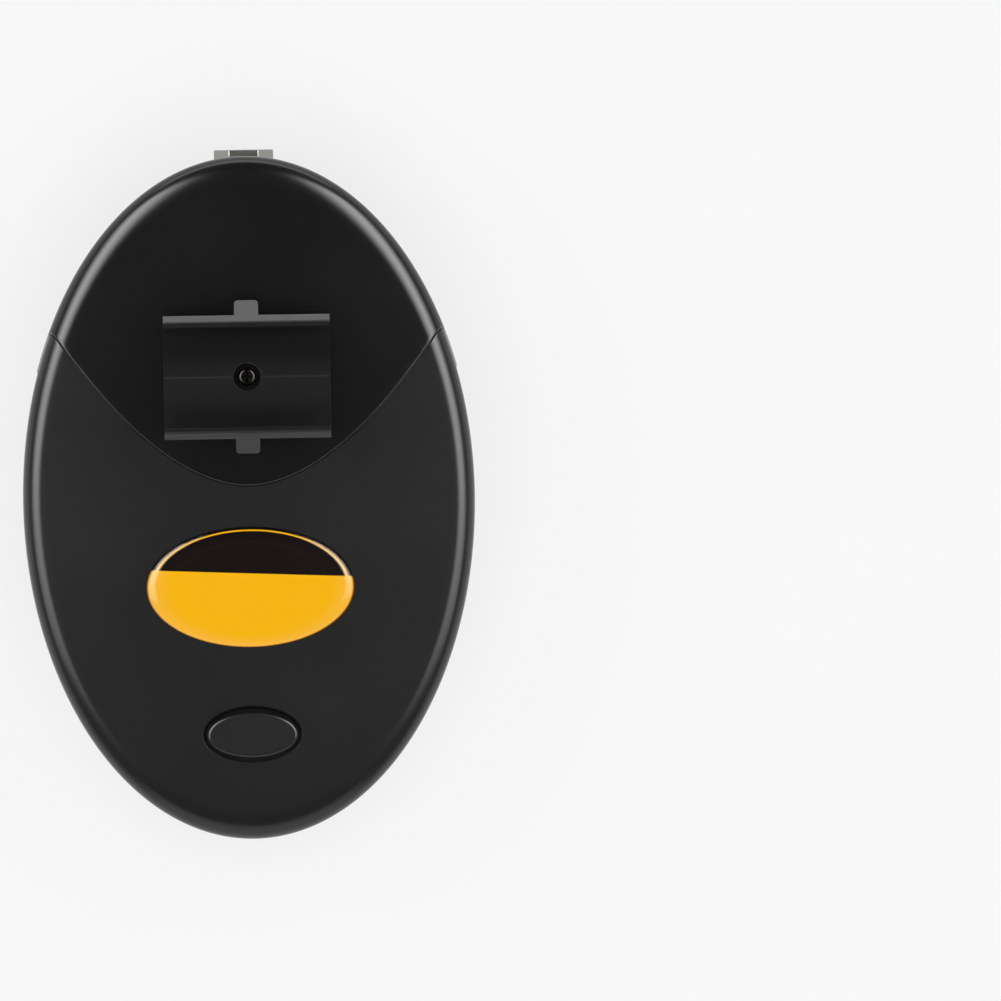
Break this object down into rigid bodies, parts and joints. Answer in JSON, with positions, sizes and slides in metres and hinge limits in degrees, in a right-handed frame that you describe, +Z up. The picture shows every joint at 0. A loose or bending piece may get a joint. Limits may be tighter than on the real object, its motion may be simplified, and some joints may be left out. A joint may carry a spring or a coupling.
{
  "type": "nail polish shaker",
  "caption": "Oval desk machine that swings a nail polish bottle in a small circle, with a sprung push button, a battery door and suction cup feet.",
  "frame": {"origin": "on the table plane under the suction cups, at the middle of the part's overall length and width", "axes": "+Z up, +Y towards the power inlet at the rear, +X to the right seen from above with the button towards the viewer"},
  "size_m": [0.122, 0.186, 0.0722],
  "materials": {
    "shell_black": "smooth semi-gloss moulded ABS, black",
    "shell_grey": "smooth semi-gloss moulded ABS, very dark grey",
    "cup": "clear bluish soft PVC, glossy",
    "steel": "zinc or nickel plated",
    "badge_print": "printed amber and black label, no lettering",
    "badge_clear": "clear domed resin",
    "button_black": "glossy black",
    "white_nylon": "natural nylon or acetal",
    "board": "phenolic circuit board",
    "component": "blue sleeved and lacquered parts",
    "cell": "plain dark printed sleeve on a steel can",
    "nickel": "bright nickel plate",
    "brass": "turned brass",
    "inlet_black": "black glass-filled nylon",
    "magnet": "ferrite",
    "copper": "laminated core with lacquered copper",
    "capacitor": "dipped ceramic",
    "frame_grey": "glass-filled nylon",
    "rubber_black": "matt black rubber",
    "screw_black": "black oxide steel",
    "wire_red": "PVC insulation, red",
    "wire_black": "PVC insulation, black",
    "wire_yellow": "PVC insulation, yellow"
  },
  "bodies": {
    "housing": {"base_housing": "shell_black", "front_housing": "shell_grey", "rear_cover": "shell_black", "suction_cups": "cup", "housing_screws": "steel", "badge_plate": "badge_print", "badge_dome": "badge_clear", "switch_body": "inlet_black", "switch_board": "board", "board_screws": "steel", "board_components": "component", "battery_cells": "cell", "battery_springs": "nickel", "battery_contacts": "nickel", "inlet_body": "inlet_black", "inlet_nut_ring": "nickel", "inlet_pin": "nickel", "motor_can": "steel", "motor_end_cap": "white_nylon", "motor_terminals": "brass", "motor_magnets": "magnet", "motor_capacitor": "capacitor", "motor_frame": "frame_grey", "motor_screws": "steel", "frame_screws": "steel", "guide_pins": "steel", "guide_sleeves": "rubber_black", "motor_leads": "wire_red", "battery_leads": "wire_black", "inlet_leads": "wire_yellow"},
    "crank": {"motor_shaft": "steel", "motor_armature": "copper", "eccentric": "brass", "crank_pin": "steel", "bearing_inner": "steel", "bearing_clip": "steel"},
    "carrier": {"carrier": "white_nylon", "bearing_outer": "steel", "bearing_balls": "nickel", "dust_shield": "rubber_black", "cradle": "shell_grey", "cradle_liner": "rubber_black", "cradle_screw": "screw_black", "cradle_washer": "steel"},
    "button": {"push_button": "button_black", "switch_plunger": "white_nylon", "button_spring": "steel"},
    "door": {"battery_door": "shell_black", "door_screw": "nickel"}
  },
  "joints": [
    {"name": "crank_spin", "type": "hinge", "parent": "housing", "child": "crank", "pos_m": [0, 0.0297, 0], "axis": [0, 0, 1], "continuous": true},
    {"name": "carrier_hold", "type": "hinge", "parent": "crank", "child": "carrier", "pos_m": [0, 0.0327, 0], "axis": [0, 0, 1], "continuous": true},
    {"name": "button_press", "type": "slide", "parent": "housing", "child": "button", "axis": [0, 0, -1], "range_m": [0, 0.0018], "stiffness_N_per_m": 300, "springref_m": -0.001, "deforming": ["button_spring"]},
    {"name": "door_swing", "type": "hinge", "parent": "housing", "child": "door", "pos_m": [0, -0.04645, 0.004], "axis": [-1, 0, 0], "range_deg": [0, 90]}
  ],
  "couplings": [
    {"joint": "carrier_hold", "follows": "crank_spin", "ratio": -1}
  ]
}
